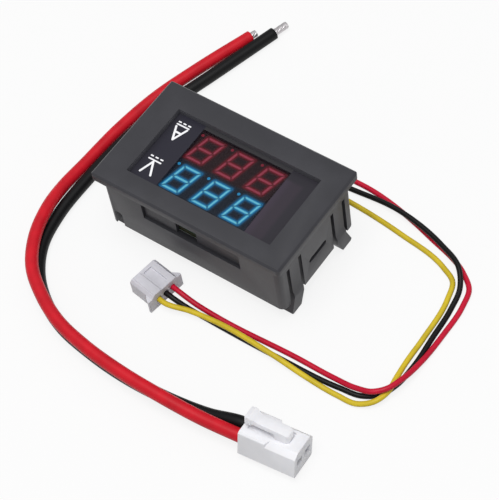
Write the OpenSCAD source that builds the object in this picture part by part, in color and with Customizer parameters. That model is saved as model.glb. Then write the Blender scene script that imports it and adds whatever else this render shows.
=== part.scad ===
// Two-row digital panel meter with its two plug-in leads.
// Millimetres. The meter stands on the tips of its legs, display up.
// X runs to the reader's right, Y to the top of the digits, Z out of the display.

/* [Bezel] */
// Width of the bezel, along a row of digits
bezel_w = 48; // [46.6:0.2:56]
// Height of the bezel, across the two rows
bezel_h = 29; // [27.6:0.2:36]
// Thickness of the bezel in front of the panel
bezel_t = 2; // [1.8:0.1:3]
// Radius of the bezel's four corners
bezel_corner = 0.8; // [0.2:0.1:1.6]
// Chamfer round the bezel's front edge
bezel_chamfer = 0.45; // [0.1:0.05:0.9]

/* [Window] */
// Width of the window opening
window_w = 36.5; // [30:0.1:37]
// Height of the window opening
window_h = 18.6; // [17.9:0.1:19]
// Place of the window's middle along X
window_x = -0.5; // [-1:0.1:1]
// Place of the window's middle along Y
window_y = 0.55; // [0.3:0.05:0.7]
// How far the filter plate lies behind the bezel's front
window_recess = 1.4; // [0.8:0.1:1.6]
// Thickness of the filter plate
filter_t = 1; // [0.8:0.1:1.4]
// How far the filter plate reaches past the opening, each way
filter_margin = 0.8; // [0.4:0.1:0.9]

/* [Body] */
// Width of the part that passes through the panel
body_w = 45.4; // [45:0.2:46]
// Height of the part that passes through the panel
body_h = 26.2; // [26:0.1:27]
// Depth of the walls behind the bezel
body_depth = 15.6; // [14.6:0.2:22]
// Thickness of the two end walls
end_wall = 1.4; // [1.1:0.1:1.6]
// Thickness of the two long walls
long_wall = 1.5; // [1.3:0.1:1.8]
// Radius of the body's outer corners
body_corner = 1.5; // [0.8:0.1:2]

/* [Spring legs] */
// How far the legs reach behind the walls
leg_reach = 4.4; // [3:0.1:6]
// Width of each leg
leg_w = 3.2; // [2.4:0.1:3.8]
// Distance of each leg's middle line from the meter's middle
leg_y = 8; // [7:0.1:8.4]
// How far each foot leans towards its corner
leg_splay = 1.6; // [0.8:0.1:2]
// Thickness of each foot
foot_t = 2; // [1.6:0.1:2.4]
// How far each foot stands proud of the end wall
foot_proud = 0.4; // [0.2:0.05:0.8]
// Width of the slots that free the legs
slot_w = 1; // [0.6:0.1:1.2]
// Length of the slots that free the legs
slot_len = 11.7; // [8:0.1:13]

/* [Wall details] */
// Length of the shallow recess in each long wall
recess_w = 25.1; // [16:0.1:28]
// Height of the shallow recess behind the bezel
recess_h = 7.7; // [5:0.1:8]
// Depth of the shallow recess
recess_t = 0.7; // [0.3:0.05:0.9]
// Width of the window in each recess
port_w = 5.3; // [3:0.1:7]
// Height of the window in each recess
port_h = 4.3; // [2:0.1:5]
// Place of that window's middle along X
port_x = 1.6; // [-6:0.1:6]
// Length of the slot in the middle of each end wall
vent_w = 6.2; // [3:0.1:8]
// Height of the slot in the middle of each end wall
vent_h = 1.3; // [0.8:0.1:2]
// Height of the middle of that slot above the walls' rear edge
vent_z = 5.7; // [3:0.1:9]
// Width of the relief at the right-hand corners
relief_w = 2.1; // [1:0.1:2.6]
// Height of the relief at the right-hand corners
relief_h = 5.3; // [3:0.1:7]

/* [Display] */
// Width of the display block
display_w = 22.4; // [22.2:0.1:24]
// Height of the display block
display_h = 16.9; // [16.4:0.1:17.4]
// Thickness of the display block
display_t = 6.2; // [5:0.1:6.6]
// Place of the display's middle along X
display_x = -0.05; // [-1.2:0.05:1]
// Place of the display's middle along Y
display_y = 0.2; // [-0.4:0.05:0.6]
// Width of a digit between the middles of its upright bars
digit_w = 3.95; // [3.4:0.05:4.1]
// Height of a digit between the middles of its end bars
digit_h = 6.25; // [5.6:0.05:6.5]
// Width of a lit bar
bar_w = 0.6; // [0.45:0.05:0.8]
// Depth of a lit bar
bar_t = 1; // [0.4:0.1:2]
// Distance from one digit to the next
digit_pitch = 7.7; // [7.2:0.05:7.8]
// Distance from one row of digits to the other
row_pitch = 8.55; // [8.2:0.05:8.7]
// Lean of the digits, in degrees
digit_lean = 12.4; // [8:0.2:14]
// Radius of a decimal point
point_r = 0.35; // [0.25:0.05:0.4]

/* [Circuit board] */
// Thickness of the circuit board
board_t = 1.2; // [0.8:0.1:1.6]
// Gap between the board's edge and the walls
board_gap = 0.2; // [0.1:0.05:0.3]
// Size of the four posts that the board seats on
post_w = 1.8; // [1.2:0.1:1.8]
// How far the catches behind the board stand out
catch_out = 0.5; // [0.4:0.05:0.7]

/* [Trimmers] */
// Side of a trimmer's square case
trimmer_w = 4.2; // [3.6:0.1:4.6]
// Height of a trimmer's case
trimmer_t = 1.7; // [1.4:0.1:2.4]
// Radius of a trimmer's rotor
rotor_r = 1.55; // [1.1:0.05:1.6]
// Thickness of a trimmer's rotor
rotor_t = 0.8; // [0.6:0.05:1]
// Radius of the rotor's stub shaft
shaft_r = 0.5; // [0.35:0.05:0.6]
// Running clearance round the rotor and its shaft
rotor_gap = 0.06; // [0.03:0.01:0.1]

/* [Signal lead] */
// Diameter of the three thin wires
thin_d = 1.2; // [1:0.05:1.25]
// Distance between the contacts of the three-way plug
signal_pitch = 2; // [1.9:0.05:2.1]
// Length of the three-way plug
signal_plug_l = 6.8; // [6:0.1:9]
// Width of the three-way plug
signal_plug_w = 7.6; // [7:0.1:8]
// Thickness of the three-way plug
signal_plug_t = 4.5; // [4.4:0.05:4.8]

/* [Current lead] */
// Diameter of the two thick wires
thick_d = 2.9; // [2.6:0.1:3]
// Distance between the contacts of the two-way plug
current_pitch = 3.2; // [3.15:0.05:3.3]
// Length of the two-way plug
current_plug_l = 12.8; // [12:0.1:15]
// Width of the two-way plug
current_plug_w = 7.4; // [7:0.1:7.6]
// Thickness of the two-way plug without its latch
current_plug_t = 6.6; // [6.2:0.1:7]
// Width of the latch on the two-way plug
latch_w = 3.4; // [2.6:0.1:4]

/* [Hidden] */
$fn = 32;
eps = 0.01;
housing_colour = [0.29, 0.29, 0.31];
filter_colour = [0.16, 0.13, 0.17];
display_colour = [0.13, 0.12, 0.14];
volts_colour = [0.25, 0.72, 0.95];
amps_colour = [0.72, 0.12, 0.22];
board_colour = [0.05, 0.34, 0.2];
plug_colour = [0.92, 0.92, 0.94];
tin_colour = [0.78, 0.78, 0.8];
black_colour = [0.08, 0.08, 0.09];

// Levels, from the feet up
rear_z = leg_reach;
bezel_z = rear_z + body_depth;
face_z = bezel_z + bezel_t;
filter_z = face_z - window_recess - filter_t;
display_z = filter_z - display_t;
board_z = display_z - board_t;
vent_level = rear_z + vent_z;

// The space inside the walls
inner_w = body_w - 2 * end_wall;
inner_h = body_h - 2 * long_wall;
board_w = inner_w - 2 * board_gap;
board_h = inner_h - 2 * board_gap;
leg_half = leg_w / 2;
foot_h = 3;
foot_nose = 1.2;

// Parts behind the board: middles of the headers, trimmers and shunt
header_wall = 0.8;
header_gap = 0.1;
header_floor = 1.2;
header_h = 6;
signal_header_x = 4.3 - inner_w / 2;
signal_header_y = -1;
current_header_x = inner_w / 2 - 4.7;
current_header_y = -2;
current_base_t = 3.2;
current_base_w = current_plug_w + 2 * header_gap;
current_base_l = current_plug_t + 1.1;
current_wall_h = 7.4;
current_wall_t = 1.1;
signal_pin_w = 0.5;
signal_pin_out = 5.2;
current_pin_r = 0.57;
current_pin_out = 7.2;
pin_gap = 0.05;
pin_through = 0.6;
trimmer_x = signal_header_x + 6.8;
chip_x = trimmer_x + 6.8;
low_row_y = 1.8 - board_h / 2;
high_row_y = board_h / 2 - 1.3;
volts_trimmer_y = 6.4;
amps_trimmer_y = -5.2;
rotor_proud = 0.15;
shaft_l = 0.5;
display_pin_r = 0.25;
display_pin_pitch = 2.54;
display_pins_each = 6;
display_row_pitch = 14;
shunt_r = 0.8;
shunt_x = current_header_x - 6.6;
shunt_low_y = -8.6;
shunt_span = 10;
shunt_out = 3.9;
solder_h = 0.5;
solder_r = 0.65;
lead_pad_t = 0.15;

// Wires in their plugs
wire_gap = 0.15;
thick_bore_r = min(thick_d / 2 + wire_gap, current_pitch / 2 - 0.05);
signal_entry = 1.2;
current_entry = 1.6;
signal_axis_z = signal_plug_t / 2;
current_axis_z = 3.1;
signal_contact_w = 1.1;
current_contact_w = 2;
latch_pocket = 0.5;
signal_plug_at = [2.4, 21.3, 0];
signal_plug_turn = -9;
current_plug_roll = 14;
current_plug_foot = 0.3;
current_plug_at = [-32, 40.7, (current_plug_w / 2 - current_plug_foot) * sin(current_plug_roll)];
current_plug_turn = 186.4;
wire_sides = 8;
thin_tip_d = 0.8;
thin_tip_l = 3.5;
thick_tip_d = 1.8;
black_tip_l = 3.8;
red_tip_l = 1.6;

// Where a wire sits in its plug: at its contact, then just outside
function seat(at, turn, roll, entry, side, z) =
    let (across = side * cos(roll) + z * sin(roll), height = z * cos(roll) - side * sin(roll))
    [for (x = [entry, -1.5])
        at + [x * cos(turn) - across * sin(turn), x * sin(turn) + across * cos(turn), height]];

// Routes, from each plug to the bare end
thick_red_route = concat(
    seat(current_plug_at, current_plug_turn, current_plug_roll, current_entry,
        -current_pitch / 2, current_axis_z), [
    [-22.5, 42.4, 4.1], [-12.5, 42.8, 4.4], [-1.5, 42.6, 4.4], [8.5, 41.6, 4.4],
    [17, 39.7, 4.4], [24, 36.4, 4.4], [30, 32.1, 4.4], [34.6, 25.5, 4.3], [37.2, 18, 4],
    [38.8, 11, 2.3], [38.9, 3, 1.45], [38.2, -9, 1.45], [36.5, -20, 1.45],
    [33, -32, 1.45], [28, -46.2, 1.45]]);
thick_black_route = concat(
    seat(current_plug_at, current_plug_turn, current_plug_roll, current_entry,
        current_pitch / 2, current_axis_z), [
    [-22, 40.1, 1.6], [-12, 41.5, 1.45], [-2, 41.9, 1.45], [8, 41.1, 1.45], [17, 39.3, 1.45],
    [24, 36, 1.45], [29.6, 31.2, 1.45], [33.5, 25, 1.45], [35.4, 17, 1.45], [35.8, 6, 1.45],
    [35, -8, 1.45], [32.7, -20, 1.45], [29.1, -32, 1.45], [23.8, -49.8, 1.45]]);
thin_red_route = concat(
    seat(signal_plug_at, signal_plug_turn, 0, signal_entry, -signal_pitch, signal_axis_z), [
    [-4, 19.8, 1.2], [-9, 19.8, 0.6], [-30, 19.2, 0.6], [-38.5, 19.3, 0.9],
    [-44.5, 19.4, 2.1], [-47.8, 18.8, 2.9], [-50, 16.9, 3.2], [-51.3, 13.5, 2.9],
    [-52, 7, 1.3], [-52.2, -1, 0.6], [-52, -9, 0.6],
    [-50.9, -13.4, 0.6], [-48, -16, 0.6], [-37, -20.3, 0.6], [-22, -24, 0.6],
    [6, -22.5, 0.6]]);
thin_black_route = concat(
    seat(signal_plug_at, signal_plug_turn, 0, signal_entry, 0, signal_axis_z), [
    [-3, 21.4, 1], [-8, 21.3, 0.6], [-26, 21.2, 0.6],
    [-41, 20.5, 0.6], [-45.8, 19.7, 0.6],
    [-48.8, 17.6, 0.6], [-50.4, 14, 0.6], [-51, 9, 0.6], [-50.7, 0.5, 0.6], [-50.3, -7, 0.6],
    [-49.4, -12.2, 1.2], [-46.8, -16, 2.1], [-40.5, -19.2, 1.9], [-28.5, -22, 1.9],
    [-15, -22.2, 0.6], [0, -20.9, 0.6]]);
thin_yellow_route = concat(
    seat(signal_plug_at, signal_plug_turn, 0, signal_entry, signal_pitch, signal_axis_z), [
    [-4.5, 22.2, 2], [-9, 21.6, 1.9], [-26, 21.8, 1.8], [-34, 22.2, 1.1],
    [-41.5, 22.2, 0.6], [-46, 21.9, 0.9],
    [-49, 20, 1.7], [-50.2, 16.9, 1.9], [-49.9, 13, 1.8], [-49.4, 8.5, 1.1], [-49.2, 2, 0.6],
    [-48.4, -9, 0.6], [-47, -13.2, 0.6], [-43.5, -15.2, 0.6], [-31, -17.8, 0.6],
    [-17, -19.2, 0.6], [-3, -19, 0.6]]);

// ---- shared forms ----

// A rectangle with round corners, centred
module rounded_rect(w, h, r) {
    square([w - 2 * r, h], center = true);
    square([w, h - 2 * r], center = true);
    for (sx = [-1, 1], sy = [-1, 1]) {
        translate([sx * (w / 2 - r), sy * (h / 2 - r)]) circle(r);
    }
}

// A rounded prism from one level to another
module prism(w, h, r, low, high) {
    translate([0, 0, low]) linear_extrude(high - low) rounded_rect(w, h, r);
}

// A block given by its middle in X and Y and its two levels
module slab(x, y, w, h, low, high) {
    translate([x - w / 2, y - h / 2, low]) cube([w, h, high - low]);
}

// Carries a profile drawn in X and Z along Y, centred
module along_y(length) {
    translate([0, length / 2, 0]) rotate([90, 0, 0]) linear_extrude(length) children();
}

// Carries a profile drawn in Y and Z along X, centred
module along_x(length) {
    translate([-length / 2, 0, 0]) rotate([90, 0, 90]) linear_extrude(length) children();
}

// ---- housing ----

// Section of the bezel plate, with its front edge chamfered
module bezel_section(w) {
    polygon([[-w / 2, bezel_z], [w / 2, bezel_z], [w / 2, face_z - bezel_chamfer],
        [w / 2 - bezel_chamfer, face_z], [-w / 2 + bezel_chamfer, face_z],
        [-w / 2, face_z - bezel_chamfer]]);
}

module bezel_plate() {
    intersection() {
        prism(bezel_w, bezel_h, bezel_corner, bezel_z, face_z);
        along_y(bezel_h) bezel_section(bezel_w);
        along_x(bezel_w) bezel_section(bezel_h);
    }
}

// The window opening, with the wider rebate that holds the filter plate behind it
module window_cut() {
    translate([window_x, window_y, 0]) {
        slab(0, 0, window_w, window_h, bezel_z - 1, face_z + 1);
        slab(0, 0, window_w + 2 * filter_margin, window_h + 2 * filter_margin,
            bezel_z - 1, face_z - window_recess);
    }
}

module walls() {
    difference() {
        prism(body_w, body_h, body_corner, rear_z, bezel_z + eps);
        prism(inner_w, inner_h, 0.3, rear_z - 1, bezel_z + 1);
    }
}

// Posts in the four inner corners, from the bezel back to the board
module board_posts() {
    for (sx = [-1, 1], sy = [-1, 1]) {
        slab(sx * (inner_w - post_w) / 2, sy * (inner_h - post_w) / 2,
            post_w + 2 * eps, post_w + 2 * eps, display_z, bezel_z + eps);
    }
}

// Wedges on the long walls that snap behind the board
module board_catches() {
    catch_x = inner_w * 0.305;
    catch_w = 3;
    catch_gap = 0.1;
    catch_h = 1.6;
    for (sx = [-1, 1], sy = [0, 1]) {
        mirror([0, sy, 0]) translate([sx * catch_x, 0, 0]) along_x(catch_w) {
            polygon([[inner_h / 2 + eps, board_z - catch_gap],
                [inner_h / 2 - catch_out, board_z - catch_gap],
                [inner_h / 2 + eps, board_z - catch_gap - catch_h]]);
        }
    }
}

// Slots on both sides of every leg, open at the walls' rear edge
module leg_slots() {
    for (sy = [-1, 1], side = [-1, 1]) {
        slab(0, sy * leg_y + side * (leg_half + slot_w / 2), body_w + 2, slot_w,
            rear_z - 1, rear_z + slot_len);
    }
}

// A slot with round ends in the middle of each end wall
module end_vents() {
    along_x(body_w + 2) translate([0, vent_level]) {
        square([vent_w - vent_h, vent_h], center = true);
        for (side = [-1, 1]) {
            translate([side * (vent_w - vent_h) / 2, 0]) circle(vent_h / 2);
        }
    }
}

// The shallow recess behind the bezel on each long wall, and the window through it
module long_wall_recesses() {
    recess_low = bezel_z - recess_h;
    for (sy = [0, 1]) {
        mirror([0, sy, 0]) {
            translate([0, body_h / 2, 0]) {
                slab(0, 1 - recess_t, recess_w, 2, recess_low, bezel_z);
                slab(port_x, 0, port_w, 4 * long_wall, recess_low, recess_low + port_h);
            }
        }
    }
}

// Reliefs with a round upper corner at the right-hand ends of the long walls
module corner_reliefs() {
    relief_r = 0.8;
    translate([inner_w / 2 - relief_w / 2, 0, rear_z]) {
        along_y(body_h + 2) {
            translate([0, -relief_r]) rounded_rect(relief_w, 2 * relief_h, relief_r);
        }
    }
}

// Outline of one foot across the end wall, leaning towards its corner
module foot_outline() {
    inner = leg_y - leg_half;
    outer = leg_y + leg_half;
    polygon([[inner, rear_z + foot_h], [inner, rear_z],
        [inner + leg_splay, 0.6], [inner + leg_splay + 0.7, 0],
        [outer + leg_splay - foot_nose, 0], [outer + leg_splay, foot_nose],
        [outer, rear_z + foot_nose], [outer, rear_z + foot_h]]);
}

// Section of one foot: flush with the wall above, proud and thicker below
module foot_section() {
    out = body_w / 2;
    polygon([[out - end_wall, rear_z + foot_h], [out, rear_z + foot_h],
        [out + foot_proud, rear_z + foot_h - 1.2], [out + foot_proud, 0.8],
        [out + foot_proud - 0.7, 0], [out - foot_t + 0.4, 0],
        [out - foot_t, 0.6], [out - foot_t, rear_z + foot_h - 1]]);
}

module feet() {
    for (sx = [0, 1], sy = [0, 1]) {
        mirror([sx, 0, 0]) mirror([0, sy, 0]) intersection() {
            along_x(body_w + 4) foot_outline();
            translate([0, leg_y, 0]) along_y(leg_w + 2 * leg_splay + 2) foot_section();
        }
    }
}

module housing() {
    color(housing_colour) {
        difference() {
            union() {
                bezel_plate();
                walls();
                board_posts();
                board_catches();
            }
            window_cut();
            leg_slots();
            end_vents();
            long_wall_recesses();
            corner_reliefs();
        }
        feet();
    }
}

// ---- display ----

module filter_window() {
    color(filter_colour) {
        slab(window_x, window_y, window_w + 2 * filter_margin - 0.1,
            window_h + 2 * filter_margin - 0.1, filter_z, filter_z + filter_t);
    }
}

// A point of a digit, leaning with its height above the digit's middle
function leaning(x, y) = [x + y * tan(digit_lean), y];

// A polygon of a digit's points, leaning
module leaning_polygon(points) {
    polygon([for (p = points) leaning(p[0], p[1])]);
}

// The seven bars of a digit, mitred at its corners, and its decimal point
module digit(grow) {
    x = digit_w / 2;
    y = digit_h / 2;
    gap = 0.08 - grow;
    t = bar_w / 2 + grow;
    leaning_polygon([[gap - x, 0], [gap - x + t, t], [x - gap - t, t],
        [x - gap, 0], [x - gap - t, -t], [gap - x + t, -t]]);
    for (i = [-1, 1]) {
        leaning_polygon([[gap - x - t, i * (y + t)], [x + t - gap, i * (y + t)],
            [x - t - gap, i * (y - t)], [gap - x + t, i * (y - t)]]);
        for (j = [-1, 1]) {
            leaning_polygon([[i * (x + t), j * (y + t - gap)], [i * (x - t), j * (y - t - gap)],
                [i * (x - t), j * (t + gap)], [i * x, j * gap], [i * (x + t), j * gap]]);
        }
    }
    translate([x + 0.83, -y]) circle(point_r + grow);
}

// One row of three digits, as outlines
module digit_row(row, grow) {
    translate([display_x + 0.05, display_y + 0.2 + row * row_pitch / 2]) {
        for (i = [-1, 0, 1]) {
            translate([i * digit_pitch, 0]) digit(grow);
        }
    }
}

module display_case() {
    bar_fit = 0.02;
    color(display_colour) difference() {
        slab(display_x, display_y, display_w, display_h, display_z, filter_z);
        for (row = [-1, 1]) {
            translate([0, 0, filter_z - bar_t]) linear_extrude(bar_t + 1) {
                digit_row(row, bar_fit);
            }
        }
    }
}

module volts_digits() {
    color(volts_colour) translate([0, 0, filter_z - bar_t]) linear_extrude(bar_t) {
        digit_row(1, 0);
    }
}

module amps_digits() {
    color(amps_colour) translate([0, 0, filter_z - bar_t]) linear_extrude(bar_t) {
        digit_row(-1, 0);
    }
}

// Places of the display's pins
module at_display_pins() {
    for (row = [-1, 1], i = [0 : display_pins_each - 1]) {
        translate([display_x + (i - (display_pins_each - 1) / 2) * display_pin_pitch,
            display_y + row * display_row_pitch / 2, 0]) children();
    }
}

// A round pin from a level down through the board, with its cone of solder
module soldered_pin(r, top, low, fillet) {
    translate([0, 0, low]) cylinder(r = r, h = top - low);
    translate([0, 0, board_z - solder_h]) cylinder(r1 = r + 0.1, r2 = fillet, h = solder_h);
}

module display_pins() {
    color(tin_colour) at_display_pins() {
        soldered_pin(display_pin_r, display_z, board_z - 1, solder_r);
    }
}

// ---- circuit board ----

module board_hole(x, y, r) {
    translate([x, y, board_z - 1]) cylinder(r = r + pin_gap, h = board_t + 2);
}

module circuit_board() {
    color(board_colour) difference() {
        prism(board_w, board_h, 0.5, board_z, display_z);
        at_display_pins() board_hole(0, 0, display_pin_r);
        for (i = [-1, 0, 1]) {
            board_hole(signal_header_x, signal_header_y + i * signal_pitch,
                signal_pin_w * sqrt(0.5));
        }
        for (i = [-1, 1]) {
            board_hole(current_header_x, current_header_y + i * current_pitch / 2,
                current_pin_r);
        }
        for (i = [0, 1]) {
            board_hole(shunt_x, shunt_low_y + i * shunt_span, shunt_r);
        }
    }
}

// A chip body with a row of gull-wing leads along both long sides
module leaded_chip(x, y, w, h, t, leads, pitch, lead_w, reach) {
    slab(x, y, w, h, board_z - t, board_z - lead_pad_t);
    for (i = [0 : leads - 1], side = [0, 1]) {
        translate([x + (i - (leads - 1) / 2) * pitch, y, 0]) {
            mirror([0, side, 0]) along_x(lead_w) {
                polygon([[h / 2 - eps, board_z - t / 2 - 0.1],
                    [h / 2 + 0.45 * reach, board_z - t / 2 - 0.1],
                    [h / 2 + 0.65 * reach, board_z - lead_pad_t],
                    [h / 2 + reach, board_z - lead_pad_t],
                    [h / 2 + reach, board_z], [h / 2 + 0.5 * reach, board_z],
                    [h / 2 + 0.3 * reach, board_z - t / 2 + 0.1],
                    [h / 2 - eps, board_z - t / 2 + 0.1]]);
            }
        }
    }
}

module microcontroller() {
    color(black_colour) leaded_chip(chip_x, 0.6, 6.5, 4.4, 1.1, 10, 0.65, 0.25, 1);
}

// A power chip with three legs on one side and a wide tab on the other
module voltage_regulator() {
    x = trimmer_x - 0.1;
    y = 0.6;
    color(black_colour) {
        slab(x, y, 2.5, 4.5, board_z - 1.5, board_z);
        slab(x - 1.7, y, 1, 1.7, board_z - 0.4, board_z);
        for (i = [-1, 0, 1]) {
            slab(x + 1.7, y + i * 1.5, 1, 0.4, board_z - 0.4, board_z);
        }
    }
}

// A moulded two-ended part with a bent end cap at each end
module moulded_two_end(x, y, w, h, t) {
    slab(x, y, w, h, board_z - t, board_z - lead_pad_t);
    for (side = [-1, 1]) {
        slab(x + side * (w / 2 + 0.05), y, 0.3, h * 0.6, board_z - t / 2, board_z);
        slab(x + side * (w / 2 - 0.25), y, 0.8, h * 0.6, board_z - lead_pad_t, board_z);
    }
}

module protection_diode() {
    color(black_colour) moulded_two_end(shunt_x - 0.1, 6.6, 4.3, 2.6, 2.1);
}

module tantalum_capacitor() {
    color([0.85, 0.6, 0.15]) moulded_two_end(trimmer_x, low_row_y + 0.1, 3.5, 2.6, 1.9);
}

// A chip part: a body between two end caps
module chip_part(x, y, turned, w, h, t) {
    translate([x, y, 0]) rotate([0, 0, turned ? 90 : 0]) {
        slab(0, 0, w - 0.6, h, board_z - t, board_z);
        for (side = [-1, 1]) {
            slab(side * (w / 2 - 0.2), 0, 0.4, h + 0.06, board_z - t - 0.04, board_z);
        }
    }
}

module chip_resistors() {
    color(black_colour) {
        for (i = [0 : 6]) {
            chip_part(chip_x - 2.2 + i * 1.7, low_row_y, true, 1.6, 0.8, 0.45);
        }
        for (i = [0 : 3]) {
            chip_part(2.4 + i * 1.5, -3.2, true, 1.6, 0.8, 0.45);
        }
    }
}

module chip_capacitors() {
    color([0.72, 0.6, 0.45]) {
        for (i = [0 : 3]) {
            chip_part(3.4, -0.6 + i * 1.6, false, 2, 1.2, 0.9);
        }
        for (i = [0 : 2]) {
            chip_part(chip_x - 1.2 + i * 2.6, high_row_y, false, 2, 1.2, 0.9);
        }
    }
}

// A staple of thick resistance wire, soldered at both ends
module shunt_wire() {
    bend_r = 1.6;
    bar_z = board_z - shunt_out;
    color([0.72, 0.62, 0.5]) translate([shunt_x, shunt_low_y, 0]) {
        for (i = [0, 1]) {
            translate([0, i * shunt_span, bar_z + bend_r]) {
                cylinder(r = shunt_r, h = display_z - 0.1 - bar_z - bend_r);
            }
            translate([0, i * shunt_span, board_z - solder_h]) {
                cylinder(r1 = shunt_r + 0.1, r2 = shunt_r + 0.6, h = solder_h);
            }
            translate([0, bend_r + i * (shunt_span - 2 * bend_r), bar_z + bend_r]) {
                rotate([0, 90, 0]) rotate([0, 0, i * 90 - 90]) {
                    rotate_extrude(angle = 90) translate([bend_r, 0]) circle(shunt_r);
                }
            }
        }
        translate([0, bend_r, bar_z]) rotate([-90, 0, 0]) {
            cylinder(r = shunt_r, h = shunt_span - 2 * bend_r);
        }
    }
}

// ---- sockets behind the board ----

// The shrouded socket for the three-way plug, with two key slots
module signal_header() {
    cavity_l = signal_plug_w - 0.4;
    cavity_w = signal_plug_t + 2 * header_gap;
    low = board_z - header_h;
    color(plug_colour) translate([signal_header_x, signal_header_y, 0]) difference() {
        slab(0, 0, cavity_w + 2 * header_wall, cavity_l + 2 * header_wall, low, board_z);
        slab(0, 0, cavity_w, cavity_l, low - 1, board_z - header_floor);
        for (i = [-1, 1]) {
            slab(cavity_w / 2, i * cavity_l / 4, 3 * header_wall, 1, low - 1,
                board_z - header_floor - 0.6);
        }
        for (i = [-1, 0, 1]) {
            slab(0, i * signal_pitch, signal_pin_w + 2 * pin_gap, signal_pin_w + 2 * pin_gap,
                board_z - header_floor - 1, board_z + 1);
        }
    }
}

module signal_header_pins() {
    color(tin_colour) translate([signal_header_x, signal_header_y, 0]) {
        for (i = [-1, 0, 1]) {
            slab(0, i * signal_pitch, signal_pin_w, signal_pin_w,
                board_z - signal_pin_out, display_z + pin_through);
        }
    }
}

// The open socket for the two-way plug: a base with a tall wall that the latch grips
module current_header() {
    low = board_z - current_base_t;
    wall_low = board_z - current_wall_h;
    edge = current_base_l / 2;
    color(plug_colour) translate([current_header_x, current_header_y, 0]) difference() {
        union() {
            slab(0, 0, current_base_l, current_base_w, low, board_z);
            slab(edge - current_wall_t / 2, 0, current_wall_t, current_base_w, wall_low, board_z);
        }
        slab(edge, 0, 4 * current_wall_t, latch_w + 2 * header_gap, wall_low - 1, wall_low + 1.4);
        for (i = [-1, 1]) {
            translate([0, i * current_pitch / 2, low - 1]) {
                cylinder(r = current_pin_r + pin_gap, h = current_base_t + 2);
            }
        }
    }
}

module current_header_pins() {
    color(tin_colour) translate([current_header_x, current_header_y, 0]) {
        for (i = [-1, 1]) {
            translate([0, i * current_pitch / 2, board_z - current_pin_out]) {
                cylinder(r = current_pin_r, h = current_pin_out + board_t + pin_through);
            }
        }
    }
}

// ---- trimmers ----

rotor_low = board_z - trimmer_t - rotor_proud;
rotor_top = rotor_low + rotor_t;

// A square case with a round pit for the rotor and a bore for its shaft
module trimmer_case(y) {
    color([0.9, 0.9, 0.86]) translate([trimmer_x, y, 0]) difference() {
        union() {
            slab(0, 0, trimmer_w, trimmer_w, board_z - trimmer_t, board_z - lead_pad_t);
            for (i = [-1, 1]) {
                slab(i * 1.2, -trimmer_w / 2 + 0.3, 0.9, 1, board_z - 0.6, board_z);
            }
            slab(0, trimmer_w / 2 - 0.3, 1.4, 1, board_z - 0.6, board_z);
        }
        translate([0, 0, board_z - trimmer_t - 1]) {
            cylinder(r = rotor_r + rotor_gap, h = rotor_top + rotor_gap - board_z + trimmer_t + 1);
        }
        translate([0, 0, board_z - trimmer_t]) {
            cylinder(r = shaft_r + rotor_gap, h = trimmer_t + 1);
        }
    }
}

// A round rotor with a cross slot and a stub shaft
module trimmer_rotor(y) {
    color(tin_colour) translate([trimmer_x, y, 0]) difference() {
        union() {
            translate([0, 0, rotor_low]) cylinder(r = rotor_r, h = rotor_t);
            translate([0, 0, rotor_top - eps]) cylinder(r = shaft_r, h = shaft_l);
        }
        for (turn = [0, 90]) {
            rotate([0, 0, turn]) slab(0, 0, 2 * rotor_r - 0.8, 0.5, rotor_low - 1, rotor_low + 0.4);
        }
    }
}

module volts_trimmer_case() {
    trimmer_case(volts_trimmer_y);
}

module volts_trimmer_rotor() {
    trimmer_rotor(volts_trimmer_y);
}

module amps_trimmer_case() {
    trimmer_case(amps_trimmer_y);
}

module amps_trimmer_rotor() {
    trimmer_rotor(amps_trimmer_y);
}

// ---- plugs ----

// Puts a plug drawn with its wires behind X = 0 where it lies
module lay(at, turn, roll = 0) {
    translate(at) rotate([-roll, 0, turn]) children();
}

// The three-way plug: rounded top edges, ears at the wire end, a rib and a sunk panel on top
module signal_plug() {
    edge = 0.6;
    ear = 1;
    ear_l = 1.3;
    rib_y = 2;
    rib_t = 0.25;
    panel_l = signal_plug_l - 1.7;
    half = signal_plug_w / 2;
    color(plug_colour) lay(signal_plug_at, signal_plug_turn) difference() {
        union() {
            translate([signal_plug_l / 2, 0, 0]) along_x(signal_plug_l) {
                polygon([[-half + 0.2, 0], [half - 0.2, 0], [half, 0.2],
                    [half, signal_plug_t - edge], [half - edge, signal_plug_t],
                    [edge - half, signal_plug_t], [-half, signal_plug_t - edge], [-half, 0.2]]);
            }
            for (side = [0, 1]) {
                mirror([0, side, 0]) linear_extrude(signal_plug_t - edge) {
                    polygon([[0, 0], [0, half + ear], [0.5, half + ear],
                        [ear_l + 0.6, half - eps], [ear_l + 0.6, 0]]);
                }
            }
            translate([signal_plug_l / 2 - 0.2, rib_y, signal_plug_t - eps]) {
                along_x(signal_plug_l - 0.4) {
                    polygon([[-1.2, 0], [1.1, 0], [0.85, rib_t], [-0.85, rib_t]]);
                }
            }
        }
        slab(0.9 + panel_l / 2, -0.65, panel_l, 2.2, signal_plug_t - 0.4, signal_plug_t + 1);
        slab(0.5 + panel_l / 2, 0.4 - half, panel_l, 0.35, signal_plug_t - 1.1,
            signal_plug_t + 1);
        for (i = [-1, 0, 1]) {
            translate([0, i * signal_pitch, signal_axis_z]) {
                rotate([0, 90, 0]) translate([0, 0, -1]) {
                    cylinder(r = thin_d / 2 + wire_gap, h = signal_entry + 1);
                }
                translate([signal_entry - eps, 0, 0]) {
                    rotate([90, 0, 90]) linear_extrude(signal_plug_l) {
                        square(signal_contact_w + 0.1, center = true);
                    }
                }
            }
        }
    }
}

// Box contacts seated in the plug, each with an open mouth
module box_contact(w, from, to) {
    difference() {
        rotate([90, 0, 90]) translate([0, 0, from]) linear_extrude(to - from) {
            square(w, center = true);
        }
        rotate([90, 0, 90]) translate([0, 0, to - w]) linear_extrude(w + 1) {
            square(w - 0.4, center = true);
        }
    }
}

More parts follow.
